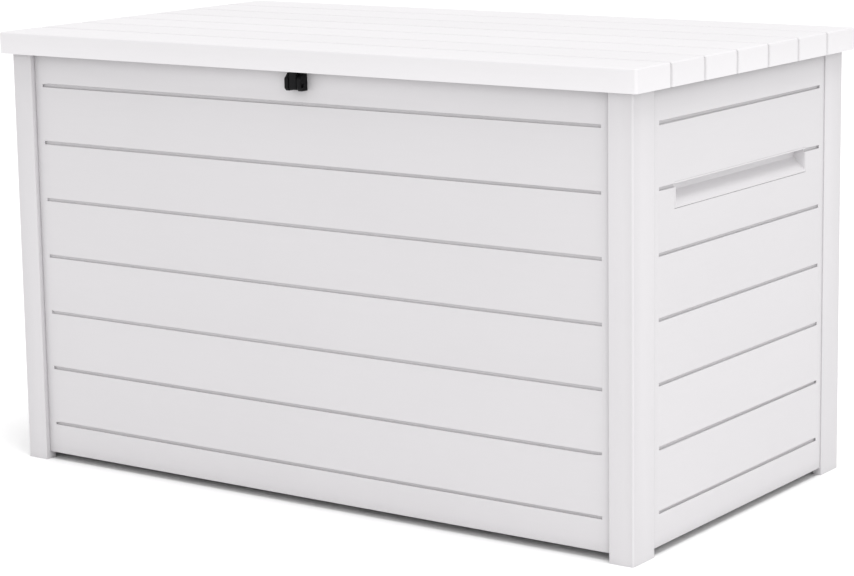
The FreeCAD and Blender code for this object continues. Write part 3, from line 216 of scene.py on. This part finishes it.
def mix_colour(tree, factor, dark, light):
    """A colour between two, from dark at 0 to light at 1."""
    ramp = add(tree, "ShaderNodeValToRGB")
    ramp.color_ramp.elements[0].color = (*dark, 1)
    ramp.color_ramp.elements[1].color = (*light, 1)
    tree.links.new(factor, ramp.inputs["Fac"])
    return ramp.outputs["Color"]


def shade(colour, amount):
    """A colour made darker or lighter."""
    return tuple(channel * amount for channel in colour)


def painted_shade_and_highlight(tree, colour, edge_highlight, painted_shade, depth):
    """A colour with painted shade in grooves, corners and under overhangs, and a painted highlight on
    convex edges.
    """
    hollows = add(tree, "ShaderNodeAmbientOcclusion")
    hollows.samples = 8
    hollows.inputs["Distance"].default_value = depth
    share = between(tree, hollows.outputs["AO"], 1 - painted_shade, 1)
    scale = add(tree, "ShaderNodeVectorMath", operation="SCALE")
    tree.links.new(colour, scale.inputs[0])
    tree.links.new(math_node(tree, "MULTIPLY", share, edge_highlight), scale.inputs["Scale"])
    return scale.outputs[0]


def painted_edge_highlight(tree):
    """A painted highlight: just over 1 on convex edges and 1 on flats."""
    point = add(tree, "ShaderNodeNewGeometry").outputs["Pointiness"]
    sharp = math_node(tree, "MAXIMUM", math_node(tree, "SUBTRACT", point, HIGHLIGHT_POINTINESS), 0.0)
    highlighted = math_node(tree, "ADD", math_node(tree, "MULTIPLY", sharp, HIGHLIGHT_GAIN), 1.0)
    return math_node(tree, "MINIMUM", highlighted, HIGHLIGHT_LIMIT)


def resin(name, base, run=None, across="Z", pitch=BOARD_PITCH, start=TOP_GROOVE, grain=0.35,
          painted_shade=0.55, depth=14 * MM):
    """Moulded light resin: satin skin, fine pebble, and wood grain embossed along one axis.

    The share of painted shade sets how much darker hollows are painted, and depth is how near a wall
    has to be to count as one.
    """
    material, tree, shader = new_material(name, base, 0.48)
    coordinates = add(tree, "ShaderNodeTexCoord").outputs["Object"]
    pebble = noise(tree, coordinates, scale=900, detail=2.0)
    clouds = noise(tree, coordinates, scale=3.0)
    heights = [(pebble, 0.12)]
    tones = [(clouds, 0.55)]
    if run:
        board = board_number(tree, coordinates, across, pitch, start)
        space = grain_space(tree, coordinates, run, board)
        lines = noise(tree, space, scale=5.0, detail=6.0, roughness=0.62)
        broad = noise(tree, space, scale=1.4, detail=2.0)
        streaks = weighted(tree, (lines, 0.8), (broad, 0.5))
        heights.append((streaks, grain * 2))
        boards = add(tree, "ShaderNodeTexWhiteNoise", noise_dimensions="1D")
        tree.links.new(board, boards.inputs["W"])
        tones += [(lines, 0.3), (boards.outputs["Value"], 0.25)]
    colour = mix_colour(tree, weighted(tree, *tones), shade(base, 0.965), shade(base, 1.03))
    # painted shade in hollows and under the lid's rim, and a painted highlight on convex edges
    tree.links.new(painted_shade_and_highlight(tree, colour, painted_edge_highlight(tree), painted_shade, depth), shader.inputs["Base Color"])
    tree.links.new(between(tree, clouds, 0.42, 0.54), shader.inputs["Roughness"])
    raised(tree, shader, weighted(tree, *heights), strength=0.25, distance=0.6 * MM)
    shader.inputs["Specular IOR Level"].default_value = 0.35
    return material


def black_plastic(name):
    """Black moulded plastic with a fine spark texture, greyer in patches and on pointed edges."""
    material, tree, shader = new_material(name, (0.004, 0.004, 0.0045), 0.6)
    coordinates = add(tree, "ShaderNodeTexCoord").outputs["Object"]
    spark = noise(tree, coordinates, scale=1400)
    patches = noise(tree, coordinates, scale=60, detail=4.0)
    edges = add(tree, "ShaderNodeNewGeometry").outputs["Pointiness"]
    pointed_edges = math_node(tree, "SUBTRACT", edges, 0.5)
    tone = weighted(tree, (patches, 0.5), (pointed_edges, 4.0))
    tree.links.new(mix_colour(tree, tone, (0.003, 0.003, 0.0035), (0.010, 0.010, 0.011)),
                   shader.inputs["Base Color"])
    tree.links.new(between(tree, patches, 0.50, 0.70), shader.inputs["Roughness"])
    shader.inputs["Specular IOR Level"].default_value = 0.12
    raised(tree, shader, spark, strength=0.3, distance=0.3 * MM)
    return material


def metal(name, base, roughness, spread):
    """Bare or plated metal with fine scratches along Z; spread is how uneven its roughness is."""
    material, tree, shader = new_material(name, base, roughness)
    shader.inputs["Metallic"].default_value = 1.0
    coordinates = add(tree, "ShaderNodeTexCoord").outputs["Object"]
    squeezed = add(tree, "ShaderNodeVectorMath", operation="MULTIPLY")
    tree.links.new(coordinates, squeezed.inputs[0])
    squeezed.inputs[1].default_value = (60, 60, 6)
    scratches = noise(tree, squeezed.outputs[0], scale=30, detail=4.0)
    patches = noise(tree, coordinates, scale=45)
    colour = mix_colour(tree, patches, shade(base, 0.86), shade(base, 1.08))
    tree.links.new(colour, shader.inputs["Base Color"])
    uneven = between(tree, patches, roughness - spread / 2, roughness + spread / 2)
    tree.links.new(uneven, shader.inputs["Roughness"])
    raised(tree, shader, scratches, strength=0.15, distance=0.2 * MM)
    return material


def black_paint(name):
    """Semi-gloss black enamel with faint orange peel."""
    material, tree, shader = new_material(name, (0.015, 0.015, 0.016), 0.3)
    coordinates = add(tree, "ShaderNodeTexCoord").outputs["Object"]
    peel = noise(tree, coordinates, scale=420, detail=2.0)
    smears = noise(tree, coordinates, scale=35)
    tree.links.new(mix_colour(tree, smears, (0.012, 0.012, 0.013), (0.022, 0.022, 0.023)),
                   shader.inputs["Base Color"])
    tree.links.new(between(tree, smears, 0.24, 0.39), shader.inputs["Roughness"])
    shader.inputs["Coat Weight"].default_value = 0.3
    raised(tree, shader, peel, strength=0.1, distance=0.2 * MM)
    return material


# ---------------------------------------------------------------- meshes

def finish_mesh(bm, name, material, smooth_angle=40):
    """A scene object from a bmesh, smooth but for its sharp edges."""
    bmesh.ops.recalc_face_normals(bm, faces=bm.faces)
    limit = math.radians(smooth_angle)
    for face in bm.faces:
        face.smooth = True
    for edge in bm.edges:
        edge.smooth = len(edge.link_faces) == 2 and edge.calc_face_angle() < limit
    mesh = bpy.data.meshes.new(name)
    bm.to_mesh(mesh)
    bm.free()
    mesh.materials.append(material)
    piece = bpy.data.objects.new(name, mesh)
    bpy.context.scene.collection.objects.link(piece)
    return piece


def stand_for(piece, *nodes):
    """The piece takes the place and the body of these nodes, which are hidden."""
    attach(piece, NODE_BODY[nodes[0]])
    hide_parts(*nodes)
    return piece


def welded(node):
    """A node's mesh with its seams closed and its flat faces whole."""
    bm = bmesh.new()
    bm.from_mesh(NODES[node].data)
    bmesh.ops.remove_doubles(bm, verts=bm.verts, dist=SAME_PLACE)
    bmesh.ops.dissolve_limit(bm, angle_limit=FLAT_ANGLE, verts=bm.verts, edges=bm.edges)
    return bm


def softened(node, material, radius, shortest=LONG_EDGE):
    """A node's shape with its long, sharp edges rounded."""
    bm = welded(node)
    sharp = [edge for edge in bm.edges
             if len(edge.link_faces) == 2 and edge.calc_length() > shortest
             and edge.calc_face_angle() > SHARP_ANGLE]
    bmesh.ops.bevel(bm, geom=sharp, offset=radius, offset_type="OFFSET", segments=3, profile=0.5,
                    affect="EDGES", clamp_overlap=False)
    return stand_for(finish_mesh(bm, node + "_moulding", material), node)


def apply_modifiers(piece):
    """The piece's mesh as its modifiers leave it."""
    graph = bpy.context.evaluated_depsgraph_get()
    mesh = bpy.data.meshes.new_from_object(piece.evaluated_get(graph))
    piece.modifiers.clear()
    piece.data = mesh


def rounded_tray(low, high):
    """A box between two corners, open below, with rounded upright edges and a rounded top edge."""
    bm = bmesh.new()
    corners = [Vector((x, y, z)) for z in (low.z, high.z) for x, y in (
        (low.x, low.y), (high.x, low.y), (high.x, high.y), (low.x, high.y))]
    verts = [bm.verts.new(corner) for corner in corners]
    for ring in ((4, 5, 6, 7), (0, 1, 5, 4), (1, 2, 6, 5), (2, 3, 7, 6), (3, 0, 4, 7), (3, 2, 1, 0)):
        bm.faces.new([verts[k] for k in ring])
    upright = [edge for edge in bm.edges if abs(edge.verts[0].co.z - edge.verts[1].co.z) > MM]
    bmesh.ops.bevel(bm, geom=upright, offset=LID_CORNER, segments=7, profile=0.5, affect="EDGES")
    rim = [edge for edge in bm.edges if all(vert.co.z > high.z - MM for vert in edge.verts)]
    bmesh.ops.bevel(bm, geom=rim, offset=LID_EDGE, segments=5, profile=0.5, affect="EDGES")
    under = [face for face in bm.faces if face.normal.z < -0.99]
    bmesh.ops.delete(bm, geom=under, context="FACES_ONLY")
    return bm


def cut_across(bm, place, axis):
    """New edges wherever a plane at right angles to an axis meets the mesh."""
    everything = bm.verts[:] + bm.edges[:] + bm.faces[:]
    bmesh.ops.bisect_plane(bm, geom=everything, dist=CUT_TOLERANCE, plane_co=place, plane_no=axis)


def sink_joints(bm, joints):
    """Lets the skin down into a soft groove at each plank joint, on the top and both end rims."""
    bm.normal_update()
    moves = {}
    for vert in bm.verts:
        away = min(abs(vert.co.y - joint) for joint in joints) / PLANK_GROOVE_HALF
        if away < 1 and abs(vert.normal.y) < 0.5:
            fall = math.cos(away * math.pi / 2) ** 1.5
            inward = Vector((vert.normal.x, 0, vert.normal.z)).normalized()
            moves[vert] = inward * (PLANK_GROOVE_DEPTH * fall)
    for vert, move in moves.items():
        vert.co -= move


def lid_skin(material):
    """The lid's plank skin: a rounded tray turned over, with a soft joint between planks."""
    low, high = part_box("lid_top_shell")
    bm = rounded_tray(low, high)
    pitch = (high.y - low.y) / PLANK_COUNT
    joints = [low.y + pitch * k for k in range(1, PLANK_COUNT)]
    for joint in joints:
        for share in JOINT_CUTS:
            cut_across(bm, (0, joint + PLANK_GROOVE_HALF * share, 0), (0, 1, 0))
    for bay in range(1, LID_BAYS):
        cut_across(bm, (low.x + (high.x - low.x) * bay / LID_BAYS, 0, 0), (1, 0, 0))
    sink_joints(bm, joints)
    piece = finish_mesh(bm, "lid_plank_skin", material, smooth_angle=60)
    thick = piece.modifiers.new("skin", "SOLIDIFY")
    thick.thickness = LID_SKIN
    thick.offset = -1
    apply_modifiers(piece)
    return stand_for(piece, "lid_top_shell")


# ---------------------------------------------------------------- stage, light and camera

def stage():
    """A wide pale floor."""
    material, tree, shader = new_material("pale_floor", (0.93, 0.93, 0.93), 0.85)
    coordinates = add(tree, "ShaderNodeTexCoord").outputs["Object"]
    tone = noise(tree, coordinates, scale=0.8, detail=2.0)
    colour = mix_colour(tree, tone, (0.92, 0.92, 0.92), (0.94, 0.94, 0.94))
    tree.links.new(colour, shader.inputs["Base Color"])
    bm = bmesh.new()
    bmesh.ops.create_grid(bm, x_segments=8, y_segments=8, size=FLOOR_HALF)
    floor = finish_mesh(bm, "studio_floor", material)


def area_light(name, place, target, size, power):
    """A square lamp turned towards a point."""
    light = bpy.data.lights.new(name, "AREA")
    light.shape = "SQUARE"
    light.size = size
    light.energy = power
    lamp = bpy.data.objects.new(name, light)
    lamp.location = place
    lamp.rotation_euler = (Vector(target) - Vector(place)).to_track_quat("-Z", "Y").to_euler()
    bpy.context.scene.collection.objects.link(lamp)


def lights():
    """An even white sky, a soft sun overhead and a faint lamp at the front right."""
    world = bpy.data.worlds.new("studio")
    world.use_nodes = True
    background = world.node_tree.nodes["Background"]
    background.inputs["Color"].default_value = (1.0, 1.0, 1.0, 1)
    background.inputs["Strength"].default_value = SKY_STRENGTH
    bpy.context.scene.world = world
    sun = bpy.data.lights.new("overhead", "SUN")
    sun.energy = SUN_STRENGTH
    sun.angle = math.radians(SUN_SPREAD)
    lamp = bpy.data.objects.new("overhead", sun)
    lamp.rotation_euler = Vector(SUN_DIRECTION).to_track_quat("-Z", "Y").to_euler()
    bpy.context.scene.collection.objects.link(lamp)
    area_light("key", KEY_PLACE, KEY_TARGET, KEY_SIZE, KEY_POWER)
    bpy.context.scene.view_settings.view_transform = "Standard"


def camera():
    """A long lens from the front right, a little above the lid."""
    level = Vector((math.cos(CAMERA_YAW), math.sin(CAMERA_YAW), 0))
    ahead = Vector((-math.sin(CAMERA_YAW), math.cos(CAMERA_YAW), 0))
    forward = ahead * math.cos(CAMERA_PITCH) - Vector((0, 0, math.sin(CAMERA_PITCH)))
    upward = level.cross(forward)
    right = level * math.cos(CAMERA_ROLL) + upward * math.sin(CAMERA_ROLL)
    top = upward * math.cos(CAMERA_ROLL) - level * math.sin(CAMERA_ROLL)
    data = bpy.data.cameras.new("camera")
    data.lens = CAMERA_LENS
    data.sensor_width = CAMERA_SENSOR
    data.shift_y = CAMERA_SHIFT
    data.clip_end = CAMERA_REACH
    view = bpy.data.objects.new("camera", data)
    turn = Matrix((right, top, -forward)).transposed().to_4x4()
    view.matrix_world = Matrix.Translation(CAMERA_PLACE) @ turn
    bpy.context.scene.collection.objects.link(view)
    bpy.context.scene.camera = view


# ---------------------------------------------------------------- the box

def paint(node, material):
    """A node that keeps its own shape gets a detailed material."""
    mesh = NODES[node].data
    mesh.materials.clear()
    mesh.materials.append(material)


def build():
    """The finish of every visible node, with a softer shape for the moulded and bent ones."""
    # the walls' resin gets painted shade in its grooves and under the lid's rim
    front_resin = resin("front_boards_resin", RESIN, "X", painted_shade=0.33, depth=SHADED_DEPTH)
    side_resin = resin("side_boards_resin", RESIN, "Y", painted_shade=0.4, depth=SHADED_DEPTH)
    cup_resin = resin("handle_cup_resin", RESIN, "Y", grain=0.1, painted_shade=0.05)
    # one board of 2 m holds a whole post; the posts' resin is a shaded copy, painted a little darker
    # than the walls'
    post_resin = resin("post_resin", shade(RESIN, 0.96), "Z", pitch=2.0, start=-1.0,
                       grain=0.25, painted_shade=0.1)
    low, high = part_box("lid_top_shell")
    plank_resin = resin("lid_planks_resin", RESIN_LID, "X", across="Y",
                        pitch=(high.y - low.y) / PLANK_COUNT, start=low.y, grain=0.45)
    inner_resin = resin("inner_resin", RESIN_LID)
    floor_resin = resin("floor_resin", RESIN)
    black = black_plastic("black_lock_plastic")
    zinc = metal("zinc_plate", (0.62, 0.63, 0.65), roughness=0.36, spread=0.18)
    chrome = metal("chrome_rod", (0.80, 0.80, 0.82), roughness=0.12, spread=0.06)
    enamel = black_paint("strut_enamel")

    lid_skin(plank_resin)
    for node in ("front_panel", "back_panel"):
        softened(node, front_resin, PANEL_ROUND)
    for side in ("left", "right"):
        softened(side + "_side_panel", side_resin, PANEL_ROUND)
        softened(side + "_handle_cup", cup_resin, CUP_ROUND)
    for end in ("front", "rear"):
        for side in ("left", "right"):
            softened("%s_%s_post" % (end, side), post_resin, POST_ROUND)
    softened("floor_panel", floor_resin, FLOOR_ROUND)
    softened("lid_liner", inner_resin, THIN_ROUND)
    for node in ("lock_keeper", "lock_hasp"):
        softened(node, black, LOCK_ROUND, shortest=SMALL_EDGE)
    for count in range(1, 5):
        softened("hinge_%d_box_leaf" % count, inner_resin, THIN_ROUND)
        softened("hinge_%d_lid_leaf" % count, inner_resin, THIN_ROUND)

    by_slot = {"zinc_steel": zinc, "black_plastic": black, "black_paint": enamel, "chrome_rod": chrome,
               "seal_rubber": black}
    for side in ("left", "right"):
        for part in ("strut_lid_bracket", "strut_base_bracket"):
            softened("%s_%s" % (side, part), zinc, METAL_ROUND, shortest=SMALL_EDGE)
    for place in ("front", "rear"):
        softened(place + "_stiffening_bar", zinc, METAL_ROUND)
    for node, slot in NODE_SLOT.items():
        if slot in by_slot and not NODES[node].hide_render:
            paint(node, by_slot[slot])


camera()
lights()
stage()
build()
